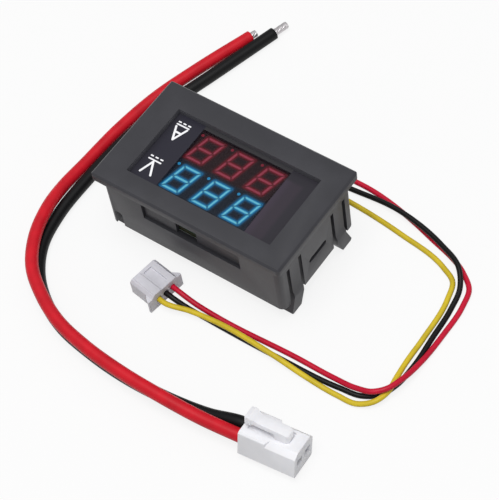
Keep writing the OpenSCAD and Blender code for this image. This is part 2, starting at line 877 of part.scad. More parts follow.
module signal_plug_contacts() {
    color(tin_colour) lay(signal_plug_at, signal_plug_turn) {
        for (i = [-1, 0, 1]) {
            translate([0, i * signal_pitch, signal_axis_z]) {
                box_contact(signal_contact_w, signal_entry, signal_plug_l - 0.5);
            }
        }
    }
}

// Side view of the latch: a thumb pad, a springy arm and its root near the mouth
module latch_profile() {
    top = current_plug_t;
    end = current_plug_l - 2.7;
    polygon([[0.2, top + 1.2], [0.2, top + 2.6], [1.1, top + 2.8], [3.2, top + 2],
        [end - 1.2, top + 1.8], [end - 0.3, top + 1.5], [end, top + 1],
        [end, top - latch_pocket - 0.2], [end - 3, top - latch_pocket - 0.2],
        [end - 3.6, top + 0.9], [2.4, top + 1]]);
}

// The latch from above: wide at the thumb pad, rounded off at its root
module latch_plan() {
    end = current_plug_l - 2.7;
    wide = latch_w / 2;
    arm = wide - 0.35;
    polygon([[0.4, -wide], [1.6, -wide], [2.2, -arm], [end - 0.7, -arm], [end + eps, 0.7 - arm],
        [end + eps, arm - 0.7], [end - 0.7, arm], [2.2, arm], [1.6, wide], [0.4, wide],
        [0.1, wide - 0.4], [0.1, 0.4 - wide]]);
}

// What cuts one top edge back, from part way along to the mouth
module edge_cut(full_l, cut) {
    half = current_plug_w / 2;
    far_x = current_plug_l + 1;
    intersection() {
        translate([current_plug_l / 2, 0, 0]) along_x(current_plug_l + 2) {
            polygon([[half - cut - 1, current_plug_t + 1], [half + 1, current_plug_t - cut - 1],
                [half + 1, current_plug_t + 1]]);
        }
        linear_extrude(2 * current_plug_t) {
            polygon([[full_l, half + 1], [full_l, half], [full_l + 0.7, half - cut],
                [full_l + 0.7, half - 2 * cut], [far_x, half - 2 * cut], [far_x, half + 1]]);
        }
    }
}

// The two-way plug: its top edges cut back towards the mouth, a latch on top, two cavities
module current_plug() {
    edge = 0.35;
    half = current_plug_w / 2;
    foot = current_plug_foot;
    color(plug_colour) lay(current_plug_at, current_plug_turn, current_plug_roll) {
        difference() {
            translate([current_plug_l / 2, 0, 0]) along_x(current_plug_l) {
                polygon([[foot - half, 0], [half - foot, 0], [half, foot],
                    [half, current_plug_t - edge], [half - edge, current_plug_t],
                    [edge - half, current_plug_t], [-half, current_plug_t - edge],
                    [-half, foot]]);
            }
            for (side = [0, 1]) {
                mirror([0, side, 0]) edge_cut(5.9, 1.2);
            }
            slab((current_plug_l - 1.6) / 2, 0, current_plug_l - 3.6, latch_w + 0.3,
                current_plug_t - latch_pocket, current_plug_t + 1);
            for (i = [-1, 1]) {
                translate([0, i * current_pitch / 2, current_axis_z]) {
                    rotate([0, 90, 0]) translate([0, 0, -1]) {
                        cylinder(r = thick_bore_r, h = current_entry + 1);
                    }
                    translate([current_entry - eps, 0, 0]) {
                        rotate([90, 0, 90]) linear_extrude(current_plug_l) {
                            square(current_contact_w + 0.2, center = true);
                        }
                    }
                }
            }
        }
        intersection() {
            along_y(latch_w) latch_profile();
            linear_extrude(2 * current_plug_t) latch_plan();
        }
    }
}

module current_plug_contacts() {
    color(tin_colour) lay(current_plug_at, current_plug_turn, current_plug_roll) {
        for (i = [-1, 1]) {
            translate([0, i * current_pitch / 2, current_axis_z]) {
                box_contact(current_contact_w, current_entry, current_plug_l - 1.4);
            }
        }
    }
}

// ---- wires ----

function unit(v) = v / norm(v);

// Direction of a route at one of its points
function heading(route, i) =
    unit(route[min(i + 1, len(route) - 1)] - route[max(i - 1, 0)]);

// One ring of a wire, square to its direction
function ring(centre, along, r) =
    let (side = unit(cross(along, [0, 0, 1])), up = cross(side, along))
    [for (k = [0 : wire_sides - 1])
        let (a = (k + 0.5) * 360 / wire_sides) centre + r * (cos(a) * side + sin(a) * up)];

// A wire swept along its route, ring by ring
module wire(route, d) {
    last = len(route) - 1;
    points = [for (i = [0 : last]) each ring(route[i], heading(route, i), d / 2)];
    sides = [for (i = [0 : last - 1], k = [0 : wire_sides - 1])
        [i * wire_sides + k, i * wire_sides + (k + 1) % wire_sides,
            (i + 1) * wire_sides + (k + 1) % wire_sides, (i + 1) * wire_sides + k]];
    start_cap = [for (k = [wire_sides - 1 : -1 : 0]) k];
    end_cap = [for (k = [0 : wire_sides - 1]) last * wire_sides + k];
    polyhedron(points, concat([start_cap, end_cap], sides));
}

// The tinned end that goes on from the end of a route
module tinned_tip(route, d, length) {
    end = route[len(route) - 1];
    along = heading(route, len(route) - 1);
    color(tin_colour) translate(end) rotate([0, 0, atan2(along[1], along[0])]) {
        rotate([0, 90, 0]) cylinder(d = d, h = length);
    }
}

module thin_red_wire() {
    color([0.72, 0.1, 0.2]) wire(thin_red_route, thin_d);
}

module thin_black_wire() {
    color(black_colour) wire(thin_black_route, thin_d);
}

module thin_yellow_wire() {
    color([0.8, 0.7, 0.15]) wire(thin_yellow_route, thin_d);
}

module thin_red_tip() {
    tinned_tip(thin_red_route, thin_tip_d, thin_tip_l);
}

module thin_black_tip() {
    tinned_tip(thin_black_route, thin_tip_d, thin_tip_l);
}

module thin_yellow_tip() {
    tinned_tip(thin_yellow_route, thin_tip_d, thin_tip_l);
}

module thick_red_wire() {
    color([0.78, 0.1, 0.14]) wire(thick_red_route, thick_d);
}

module thick_black_wire() {
    color(black_colour) wire(thick_black_route, thick_d);
}

module thick_red_tip() {
    tinned_tip(thick_red_route, thick_tip_d, red_tip_l);
}

module thick_black_tip() {
    tinned_tip(thick_black_route, thick_tip_d, black_tip_l);
}

housing();
filter_window();
display_case();
volts_digits();
amps_digits();
display_pins();
circuit_board();
microcontroller();
voltage_regulator();
protection_diode();
tantalum_capacitor();
chip_resistors();
chip_capacitors();
shunt_wire();
signal_header();
signal_header_pins();
current_header();
current_header_pins();
volts_trimmer_case();
volts_trimmer_rotor();
amps_trimmer_case();
amps_trimmer_rotor();
signal_plug();
signal_plug_contacts();
thin_red_wire();
thin_black_wire();
thin_yellow_wire();
thin_red_tip();
thin_black_tip();
thin_yellow_tip();
current_plug();
current_plug_contacts();
thick_red_wire();
thick_black_wire();
thick_red_tip();
thick_black_tip();
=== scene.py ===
import math

import bmesh
import bpy
import numpy as np
from mathutils import Matrix, Vector


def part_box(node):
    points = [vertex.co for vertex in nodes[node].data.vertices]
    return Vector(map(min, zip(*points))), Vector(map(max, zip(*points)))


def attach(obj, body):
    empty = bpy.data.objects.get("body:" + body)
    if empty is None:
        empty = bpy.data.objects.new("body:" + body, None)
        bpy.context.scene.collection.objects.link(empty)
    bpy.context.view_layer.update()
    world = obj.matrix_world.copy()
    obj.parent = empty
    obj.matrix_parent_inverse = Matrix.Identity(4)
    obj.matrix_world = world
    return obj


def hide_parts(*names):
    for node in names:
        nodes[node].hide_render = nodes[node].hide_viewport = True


# A two-row digital panel meter and its two plug-in leads.
# Metres. X to the reader's right, Y to the top of the digits, Z out of the display.

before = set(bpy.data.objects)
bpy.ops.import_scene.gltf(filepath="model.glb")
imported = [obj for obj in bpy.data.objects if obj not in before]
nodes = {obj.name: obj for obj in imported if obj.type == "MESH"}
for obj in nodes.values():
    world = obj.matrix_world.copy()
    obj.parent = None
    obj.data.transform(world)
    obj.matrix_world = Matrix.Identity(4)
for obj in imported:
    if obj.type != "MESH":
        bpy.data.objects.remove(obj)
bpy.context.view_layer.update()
meterBody = "meter"


# A colour from eight-bit screen values, made linear
def tone(red, green, blue):
    levels = np.array([red, green, blue]) / 255
    linear = np.where(levels < 0.04045, levels / 12.92, ((levels + 0.055) / 1.055) ** 2.4)
    return (*linear.tolist(), 1.0)


cameraSettings = {
    "place": (-0.16062, 0.16314, 0.32578),
    "right": (-0.8134, -0.5722, -0.1045),
    "up": (0.4292, -0.7117, 0.5562),
    "lens": 132.4,
    "sensor": 36.0,
}


def addCamera(settings):
    right = Vector(settings["right"]).normalized()
    back = right.cross(Vector(settings["up"])).normalized()
    up = back.cross(right)
    data = bpy.data.cameras.new("viewCamera")
    data.lens = settings["lens"]
    data.sensor_width = settings["sensor"]
    camera = bpy.data.objects.new("viewCamera", data)
    bpy.context.scene.collection.objects.link(camera)
    place = Matrix((right, up, back)).transposed().to_4x4()
    place.translation = Vector(settings["place"])
    camera.matrix_world = place
    bpy.context.scene.camera = camera


addCamera(cameraSettings)
print("camera placed")


# Adds a mesh object from points, faces and, where given, a UV pair for every corner of every face
def addMesh(name, points, faces, cornerUv=None, smooth=True):
    mesh = bpy.data.meshes.new(name)
    mesh.from_pydata(points.tolist(), [], faces)
    if cornerUv is not None:
        layer = mesh.uv_layers.new(name="UVMap")
        layer.data.foreach_set("uv", np.asarray(cornerUv, np.float32).ravel())
    mesh.polygons.foreach_set("use_smooth", np.full(len(mesh.polygons), smooth))
    mesh.update()
    piece = bpy.data.objects.new(name, mesh)
    bpy.context.scene.collection.objects.link(piece)
    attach(piece, meterBody)
    return piece


# Quads of a grid of rows and columns, the columns closed into rings;
# the corners run along the rows first, so that the faces look outwards
def ringQuads(rows, columns):
    row, column = np.meshgrid(np.arange(rows - 1), np.arange(columns), indexing="ij")
    beside = (column + 1) % columns
    quads = np.stack([row * columns + column, (row + 1) * columns + column,
                      (row + 1) * columns + beside, row * columns + beside], axis=-1)
    return quads.reshape(-1, 4)


# Unit vectors along the last axis
def unit(vectors):
    return vectors / np.linalg.norm(vectors, axis=-1, keepdims=True)


# A smooth line through points: a cubic Hermite curve whose slope at each point is
# the chord between its neighbours over the length between them, sampled at an even step
def smoothRoute(points, step, samples=4000):
    points = np.asarray(points, float)
    chords = np.linalg.norm(np.diff(points, axis=0), axis=1)
    knots = np.concatenate([[0], np.cumsum(chords)])
    slopes = np.gradient(points, knots, axis=0)
    slopes[0] = (points[1] - points[0]) / chords[0]
    slopes[-1] = (points[-1] - points[-2]) / chords[-1]
    fine = np.linspace(0, knots[-1], samples)
    span = np.clip(np.searchsorted(knots, fine, side="right") - 1, 0, len(chords) - 1)
    width = chords[span][:, None]
    t = (fine - knots[span])[:, None] / width
    line = ((2 * t ** 3 - 3 * t ** 2 + 1) * points[span]
            + (t ** 3 - 2 * t ** 2 + t) * width * slopes[span]
            + (3 * t ** 2 - 2 * t ** 3) * points[span + 1]
            + (t ** 3 - t ** 2) * width * slopes[span + 1])
    run = np.concatenate([[0], np.cumsum(np.linalg.norm(np.diff(line, axis=0), axis=1))])
    even = np.linspace(0, run[-1], max(int(run[-1] / step), 4))
    return np.stack([np.interp(even, run, line[:, axis]) for axis in range(3)], axis=1), even


# Side, up and forward directions of a line's rings: side is square to the line and level,
# up is square to both
def ringFrames(line):
    along = unit(np.gradient(line, axis=0))
    side = unit(np.cross(along, [0.0, 0.0, 1.0]))
    return side, np.cross(side, along), along


# A tube round a line: point = line + radius(turn, run) * (cos(turn) side + sin(turn) up);
# radius is an array of rings by sides or a number for each ring
def tube(name, line, radius, sides):
    side, up, _ = ringFrames(line)
    turn = np.arange(sides) * 2 * np.pi / sides
    radius = np.broadcast_to(np.asarray(radius, float).reshape(len(line), -1), (len(line), sides))
    around = (np.cos(turn)[None, :, None] * side[:, None, :]
              + np.sin(turn)[None, :, None] * up[:, None, :])
    grid = line[:, None, :] + radius[:, :, None] * around
    quads = ringQuads(len(line), sides)
    last = (len(line) - 1) * sides
    faces = [*quads.tolist(), list(range(sides)), [last + k for k in range(sides - 1, -1, -1)]]
    run = np.concatenate([[0], np.cumsum(np.linalg.norm(np.diff(line, axis=0), axis=1))])
    row, column = quads[:, 0] // sides, quads[:, 0] % sides
    quadUv = np.stack([np.stack([(column + right) / sides, run[row + down] * 100], axis=-1)
                       for right, down in ((0, 0), (0, 1), (1, 1), (1, 0))], axis=1)
    capUv = np.stack([turn / (2 * np.pi), np.zeros(sides)], axis=-1)
    cornerUv = np.concatenate([quadUv.reshape(-1, 2), capUv, capUv[::-1]])
    return addMesh(name, grid.reshape(-1, 3), faces, cornerUv)


# Where each plug lies: the middle of its wire end on the floor, its turn, its roll on to one side
# and the distance out to the edge it rolls on; then how deep its wires go in, how high, and
# where they are just outside
signalPlugPlace = {"at": (0.0024, 0.0213), "turn": -9, "roll": 0, "edge": 0.0,
                   "entry": 0.0012, "height": 0.00225, "outside": -0.0015}
currentPlugPlace = {"at": (-0.032, 0.0407), "turn": 186.4, "roll": 14, "edge": 0.0034,
                    "entry": 0.0016, "height": 0.0031, "outside": -0.0015}


# A point given from the middle of a plug's wire end, rolled, turned and moved to its place:
# across = side cos(roll) + height sin(roll), up = (edge - side) sin(roll) + height cos(roll)
def plugPoint(plug, ahead, side, height):
    turn, roll = math.radians(plug["turn"]), math.radians(plug["roll"])
    across = side * math.cos(roll) + height * math.sin(roll)
    return (plug["at"][0] + ahead * math.cos(turn) - across * math.sin(turn),
            plug["at"][1] + ahead * math.sin(turn) + across * math.cos(turn),
            (plug["edge"] - side) * math.sin(roll) + height * math.cos(roll))


# Where a wire sits in its plug: at its contact, then just outside
def seat(plug, side):
    return [plugPoint(plug, ahead, side, plug["height"])
            for ahead in (plug["entry"], plug["outside"])]


wireSettings = {
    "thick": {"diameter": 0.0029, "sides": 32, "step": 0.0009, "stiffness": "medium",
              "rim": 0.00012, "tipRadius": 0.00086, "strands": 9, "lay": 0.011, "groove": 0.13},
    "thin": {"diameter": 0.0012, "sides": 20, "step": 0.0006, "stiffness": "limp",
             "rim": 0.00012, "tipRadius": 0.00038, "strands": 6, "lay": 0.006, "groove": 0.13},
}

wireRoutes = {
    "thick_red": {"plug": currentPlugPlace, "across": -0.0016, "tip": 0.0016, "route": [
        (-0.0225, 0.0424, 0.0041), (-0.0125, 0.0428, 0.0044), (-0.0015, 0.0426, 0.0044),
        (0.0085, 0.0416, 0.0044), (0.017, 0.0397, 0.0044), (0.024, 0.0364, 0.0044),
        (0.03, 0.0321, 0.0044), (0.0346, 0.0255, 0.0043), (0.0372, 0.018, 0.004),
        (0.0388, 0.011, 0.0023), (0.0389, 0.003, 0.00145), (0.0382, -0.009, 0.00145),
        (0.0365, -0.02, 0.00145), (0.033, -0.032, 0.00145), (0.028, -0.0462, 0.00145)]},
    "thick_black": {"plug": currentPlugPlace, "across": 0.0016, "tip": 0.0038, "route": [
        (-0.022, 0.0401, 0.0016), (-0.012, 0.0415, 0.00145), (-0.002, 0.0419, 0.00145),
        (0.008, 0.0411, 0.00145), (0.017, 0.0393, 0.00145), (0.024, 0.036, 0.00145),
        (0.0296, 0.0312, 0.00145), (0.0335, 0.025, 0.00145), (0.0354, 0.017, 0.00145),
        (0.0358, 0.006, 0.00145), (0.035, -0.008, 0.00145), (0.0327, -0.02, 0.00145),
        (0.0291, -0.032, 0.00145), (0.0238, -0.0498, 0.00145)]},
    "thin_red": {"plug": signalPlugPlace, "across": -0.002, "tip": 0.0035, "route": [
        (-0.004, 0.0198, 0.0012), (-0.009, 0.0198, 0.0006), (-0.03, 0.0192, 0.0006),
        (-0.0385, 0.0193, 0.0009), (-0.0445, 0.0194, 0.0021), (-0.0478, 0.0188, 0.0029),
        (-0.05, 0.0169, 0.0032), (-0.0513, 0.0135, 0.0029), (-0.052, 0.007, 0.0013),
        (-0.0522, -0.001, 0.0006), (-0.052, -0.009, 0.0006), (-0.0509, -0.0134, 0.0006),
        (-0.048, -0.016, 0.0006), (-0.037, -0.0203, 0.0006), (-0.022, -0.024, 0.0006),
        (0.006, -0.0225, 0.0006)]},
    "thin_black": {"plug": signalPlugPlace, "across": 0, "tip": 0.0035, "route": [
        (-0.003, 0.0214, 0.001), (-0.008, 0.0213, 0.0006), (-0.026, 0.0212, 0.0006),
        (-0.041, 0.0205, 0.0006), (-0.0458, 0.0197, 0.0006), (-0.0488, 0.0176, 0.0006),
        (-0.0504, 0.014, 0.0006), (-0.051, 0.009, 0.0006), (-0.0507, 0.0005, 0.0006),
        (-0.0503, -0.007, 0.0006), (-0.0494, -0.0122, 0.0012), (-0.0468, -0.016, 0.0021),
        (-0.0405, -0.0192, 0.0019), (-0.0285, -0.022, 0.0019), (-0.015, -0.0222, 0.0006),
        (0.0, -0.0209, 0.0006)]},
    "thin_yellow": {"plug": signalPlugPlace, "across": 0.002, "tip": 0.0035, "route": [
        (-0.0045, 0.0222, 0.002), (-0.009, 0.0216, 0.0019), (-0.026, 0.0218, 0.0018),
        (-0.034, 0.0222, 0.0011), (-0.0415, 0.0222, 0.0006), (-0.046, 0.0219, 0.0009),
        (-0.049, 0.02, 0.0017), (-0.0502, 0.0169, 0.0019), (-0.0499, 0.013, 0.0018),
        (-0.0494, 0.0085, 0.0011), (-0.0492, 0.002, 0.0006), (-0.0484, -0.009, 0.0006),
        (-0.047, -0.0132, 0.0006), (-0.0435, -0.0152, 0.0006), (-0.031, -0.0178, 0.0006),
        (-0.017, -0.0192, 0.0006), (-0.003, -0.019, 0.0006)]},
}


# Insulation: a round tube whose cut end has a softly rounded rim over one rim length
def addWire(wireName, settings, place):
    line, run = smoothRoute([*seat(place["plug"], place["across"]), *place["route"]],
                            settings["step"])
    radius, rim = settings["diameter"] / 2, settings["rim"]
    ends = line[-1] - unit(line[-1] - line[-2]) * np.array([[rim], [rim * 0.35], [0.0]])
    keep = run < run[-1] - rim * 1.5
    line = np.concatenate([line[keep], ends])
    rings = np.full(len(line), radius)
    rings[-2], rings[-1] = radius - rim * 0.25, radius - rim * 0.9
    wire = tube(wireName + "_insulation", line, rings, settings["sides"])
    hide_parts(wireName + "_wire")
    return wire, line, float(run[-1])


# Tinned strands: radius = tip radius * (1 - groove + groove * |cos(strands / 2 * (turn - twist))|),
# the twist growing with the run, and the last part drawn in to a blunt end
def addTip(wireName, settings, line, length):
    along = unit(line[-1] - line[-2])
    run = np.concatenate([np.linspace(0, length * 0.94, 30), length * np.array([0.97, 0.99, 1.0])])
    centre = line[-1] + along * run[:, None]
    sides = settings["strands"] * 6
    turn = np.arange(sides) * 2 * np.pi / sides
    groove = settings["groove"]
    lobes = np.abs(np.cos(settings["strands"] / 2
                          * (turn[None, :] - 2 * np.pi * run[:, None] / settings["lay"])))
    taper = np.ones(len(run))
    taper[-3:] = 0.97, 0.86, 0.6
    radius = settings["tipRadius"] * (1 - groove + groove * lobes) * taper[:, None]
    tip = tube(wireName + "_strands", centre, radius, sides)
    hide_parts(wireName + "_tip")
    return tip


wires, tips = {}, {}
for wireName, place in wireRoutes.items():
    settings = wireSettings[wireName.split("_")[0]]
    wire, line, length = addWire(wireName, settings, place)
    tip = addTip(wireName, settings, line, place["tip"])
    plugNode = "signal_plug" if "thin" in wireName else "current_plug"
    carried = [tip]
    if wireName in ("thick_red", "thin_red"):
        carried += [plugNode + "_contacts"]
    wires[wireName], tips[wireName] = wire, tip
print("wires laid:", len(wires))


# One output socket; arithmetic on it adds Math nodes to its tree
class Term:
    def __init__(self, tree, socket):
        self.tree, self.socket = tree, socket

    def __add__(self, other):
        return self.tree.math("ADD", self, other)

    def __radd__(self, other):
        return self.tree.math("ADD", other, self)

    def __sub__(self, other):
        return self.tree.math("SUBTRACT", self, other)

    def __rsub__(self, other):
        return self.tree.math("SUBTRACT", other, self)

    def __mul__(self, other):
        return self.tree.math("MULTIPLY", self, other)

    def __rmul__(self, other):
        return self.tree.math("MULTIPLY", other, self)

    def __truediv__(self, other):
        return self.tree.math("DIVIDE", self, other)

    def __rtruediv__(self, other):
        return self.tree.math("DIVIDE", other, self)

    def __pow__(self, other):
        return self.tree.math("POWER", self, other)

    def __abs__(self):
        return self.tree.math("ABSOLUTE", self)

    def __gt__(self, other):
        return self.tree.math("GREATER_THAN", self, other)

    def __lt__(self, other):
        return self.tree.math("LESS_THAN", self, other)


# How deep the texture of a surface goes, in metres
bumpDepth = {"coarse": 0.00004, "fine": 0.00003, "faint": 0.00002}


# A colour made darker or lighter
def shaded(colour, factor):
    return tuple(min(level * factor, 1) for level in colour[:3]) + (1.0,)


# A material's node tree, with one way to add any node
class Shade:
    def __init__(self, name):
        self.material = bpy.data.materials.new(name)
        self.material.use_nodes = True
        self.tree = self.material.node_tree
        self.surface = self.tree.nodes["Principled BSDF"]
        self.result = self.tree.nodes["Material Output"]
        self.coordinates = None

    def node(self, kind, settings=None, inputs=None, output=0):
        made = self.tree.nodes.new(kind)
        for key, value in (settings or {}).items():
            setattr(made, key, value)
        for key, value in (inputs or {}).items():
            self.feed(made.inputs[key], value)
        return Term(self, made.outputs[output])

    def feed(self, socket, value):
        if isinstance(value, Term):
            self.tree.links.new(value.socket, socket)
        else:
            socket.default_value = value

    def math(self, operation, first, second=0.0):
        return self.node("ShaderNodeMath", {"operation": operation}, {0: first, 1: second})

    def top(self, first, second):
        return self.math("MAXIMUM", first, second)

    def low(self, first, second):
        return self.math("MINIMUM", first, second)

    # Length of a step of two parts, square to each other
    def reach(self, first, second):
        return self.math("SQRT", first * first + second * second)

    def mix(self, factor, first, second):
        return self.node("ShaderNodeMix", {"data_type": "RGBA"},
                         {0: factor, 6: first, 7: second}, 2)

    # From 0 to 1 as a value goes from one level to another, with soft ends
    def ease(self, value, start, end):
        return self.node("ShaderNodeMapRange", {"interpolation_type": "SMOOTHSTEP"},
                         {"Value": value, "From Min": start, "From Max": end})

    def place(self):
        if self.coordinates is None:
            self.coordinates = self.node("ShaderNodeTexCoord", output=3)
        return self.coordinates

    def parts(self, vector, count=3):
        split = self.tree.nodes.new("ShaderNodeSeparateXYZ")
        self.tree.links.new(vector.socket, split.inputs[0])
        return [Term(self, split.outputs[index]) for index in range(count)]

    def axes(self):
        return self.parts(self.place())

    def uvAxes(self):
        return self.parts(self.node("ShaderNodeTexCoord", output=2), 2)

    def noise(self, scale, detail=2.0, rough=0.5):
        return self.node("ShaderNodeTexNoise", None,
                         {"Vector": self.place(), "Scale": scale,
                          "Detail": detail, "Roughness": rough})

    def bump(self, height, strength, distance):
        return self.node("ShaderNodeBump", None,
                         {"Height": height, "Strength": strength, "Distance": distance})

    def finish(self, **inputs):
        names = {"colour": "Base Color", "roughness": "Roughness", "metal": "Metallic",
                 "normal": "Normal", "alpha": "Alpha", "glow": "Emission Color",
                 "glowStrength": "Emission Strength", "coat": "Coat Weight",
                 "specular": "Specular IOR Level", "scatter": "Subsurface Weight",
                 "scatterScale": "Subsurface Scale", "scatterRadius": "Subsurface Radius"}
        for key, value in inputs.items():
            self.feed(self.surface.inputs[names[key]], value)
        return self.material


# Moulded plastic: a fine spark texture, a slow change of tone and a faint change of gloss
def mouldedPlastic(name, colour, roughness, texture=0.25, grain=5200, drift=0.12, **more):
    shade = Shade(name)
    slow = shade.noise(170, 3)
    fine = shade.noise(grain, 2, 0.6)
    tint = shade.mix(shade.ease(slow, 0.35, 0.65), shaded(colour, 1 - drift),
                     shaded(colour, 1 + drift))
    gloss = roughness - 0.06 + 0.12 * fine
    return shade.finish(colour=tint, roughness=gloss,
                        normal=shade.bump(fine, texture, bumpDepth["coarse"]), **more)


insulationSettings = {"lines": 13, "dark": 0.82, "scuffed": 0.14, "texture": 0.12,
                      "specular": 0.24}


# Wire insulation: extruded, with fine lines along it, a slow change of tone and a soft gloss
def insulation(name, colour, roughness, settings=insulationSettings):
    shade = Shade(name)
    around = shade.uvAxes()[0]
    slow = shade.noise(260, 3)
    lines = shade.math("SINE", around * (2 * math.pi * settings["lines"]) + 3 * slow)
    scuff = shade.ease(shade.noise(900, 4, 0.7), 0.55, 0.75)
    tint = shade.mix(shade.ease(slow, 0.3, 0.7), shaded(colour, settings["dark"]), colour)
    height = lines * 0.5 + shade.noise(2600)
    return shade.finish(colour=tint, roughness=roughness + settings["scuffed"] * scuff,
                        normal=shade.bump(height, settings["texture"], bumpDepth["fine"]),
                        specular=settings["specular"])


# Bright metal: fine scratches and a slow change of gloss
def brightMetal(name, colour, roughness, grain=3000):
    shade = Shade(name)
    fine = shade.noise(grain, 3, 0.6)
    slow = shade.noise(600, 2)
    return shade.finish(colour=shade.mix(slow, shaded(colour, 0.8), colour), metal=1.0,
                        roughness=roughness + 0.18 * fine,
                        normal=shade.bump(fine, 0.15, bumpDepth["fine"]))


# The rim tone is painted light: paler than the housing, to lift the shade on the walls inside the
# opening
housingSettings = {"colour": tone(56, 56, 61), "drift": 0.07, "rim": tone(88, 88, 94),
                   "roughness": 0.47, "specular": 0.42, "grain": 6500, "texture": 0.32,
                   "openX": (-0.01885, 0.01785), "openY": (-0.00885, 0.00995),
                   "rimZ": (0.02055, 0.0219)}


# The housing: spark texture, faint flow marks and a smoother rim inside the opening, painted paler
# than the housing as light against the shade on the opening's walls
def housingFinish(settings):
    shade = Shade("housingPlastic")
    x, y, z = shade.axes()
    inside = ((x > settings["openX"][0]) * (x < settings["openX"][1])
              * (y > settings["openY"][0]) * (y < settings["openY"][1])
              * (z > settings["rimZ"][0]) * (z < settings["rimZ"][1]))
    slow = shade.noise(170, 3)
    fine = shade.noise(settings["grain"], 2, 0.6)
    flow = shade.noise(60, 4, 0.65)
    colour, drift = settings["colour"], settings["drift"]
    tint = shade.mix(shade.ease(slow * 0.6 + flow * 0.4, 0.38, 0.62),
                     shaded(colour, 1 - drift), shaded(colour, 1 + drift))
    # Painted light: the walls inside the opening take the paler rim tone against their shade
    tint = shade.mix(inside, tint, settings["rim"])
    height = fine * (1 - 0.6 * inside)
    return shade.finish(colour=tint, roughness=settings["roughness"] - 0.07 + 0.14 * fine,
                        normal=shade.bump(height, settings["texture"], bumpDepth["coarse"]),
                        specular=settings["specular"])


nylonSettings = {"texture": 0.1, "grain": 4200, "scatter": 0.3, "scatterScale": 0.0006,
                 "scatterRadius": (1.0, 0.95, 0.9)}
housingPlastic = housingFinish(housingSettings)
whiteNylon = mouldedPlastic("whiteNylon", tone(240, 240, 244), 0.42, drift=0.02, **nylonSettings)
naturalNylon = mouldedPlastic("naturalNylon", tone(208, 207, 214), 0.4, drift=0.05,
                              **nylonSettings)
tinnedMetal = brightMetal("tinnedMetal", tone(205, 205, 208), 0.24)
tinnedStrands = brightMetal("tinnedStrands", tone(222, 218, 220), 0.4)
redInsulation = insulation("redInsulation", tone(212, 26, 42), 0.42)
thinRedInsulation = insulation("thinRedInsulation", tone(204, 20, 54), 0.42)
blackInsulation = insulation("blackInsulation", tone(15, 15, 17), 0.46)
yellowInsulation = insulation("yellowInsulation", tone(220, 194, 48), 0.42)


# Where the lit bars are: the rows' middles, the digits' pitch and lean, and how far the middle
# lines of a digit's bars lie from its own middle; then the bright core of a bar, the points'
# distance from any bar, the dark joints between the bars and the dark corners' tips
digitSettings = {"middleY": 0.0004, "rowReach": 0.004275, "pitch": 0.0077, "lean": 12.4,
                 "barX": 0.001975, "barY": 0.003125, "core": (0.00008, 0.0003),
                 "points": (0.0005, 0.0006), "joint": (0.00004, 0.00042),
                 "tip": (0.00016, 0.00034)}


# A place folded into a quarter of one digit, in that digit's own upright axes
def digitAxes(shade, x, y, settings):
    upper = y > settings["middleY"]
    v = y - settings["middleY"] - settings["rowReach"] * (2 * upper - 1)
    slid = x - v * math.tan(math.radians(settings["lean"]))
    u = abs(slid - settings["pitch"] * shade.math("ROUND", slid / settings["pitch"]))
    return u, abs(v)


# Distance to the nearest bar's middle line:
# the lesser of the distances to the upright bars and to the three level ones
def barDistance(shade, u, v, settings):
    upright = shade.reach(shade.top(v - settings["barY"], 0), abs(u - settings["barX"]))
    level = shade.reach(shade.top(u - settings["barX"], 0),
                        shade.low(v, abs(v - settings["barY"])))
    return shade.low(upright, level)


# 0 in the joints between bars, along the mitres at the corners and at the middle, and 1 away from
# them; the corners' tips are dark too
def barJoints(shade, u, v, settings):
    corner = abs((u - settings["barX"]) - (v - settings["barY"]))
    middle = abs(v - shade.top(settings["barX"] - u, 0))
    tip = u + v - (settings["barX"] + settings["barY"])
    return (shade.ease(shade.low(corner, middle), *settings["joint"])
            * (1 - shade.ease(tip, *settings["tip"])))


# What the smoked window shows: a clear zone over the lit digits, nearly solid print elsewhere, that
# print carrying painted light and shade
windowSettings = {
    "clearX": (-0.0117, 0.0107), "clearY": (-0.00785, 0.009), "edge": 0.00012,
    "clear": tone(33, 29, 38), "marksSide": tone(42, 41, 52), "marksRim": tone(43, 42, 51),
    # The band's tones are painted light and shade: paler near the display, darker at its outer edge
    # and bottom
    "paintedBand": tone(55, 49, 58), "bandInnerLight": tone(61, 53, 65), "bandOuterShade": tone(46, 44, 51),
    # Below the display a grey strip painted lighter against the corner's shade; above it a dark
    # sheet of painted shade
    "below": tone(56, 55, 58), "above": tone(20, 24, 32), "clearAlpha": 0.3, "printAlpha": 0.985,
    "marksRimX": (0.0164, 0.0172), "bandOuterX": (-0.0165, -0.0152),
    "bandInnerX": (-0.0138, -0.0122), "bandOuterY": (-0.0066, -0.0056), "specular": 0.3,
}


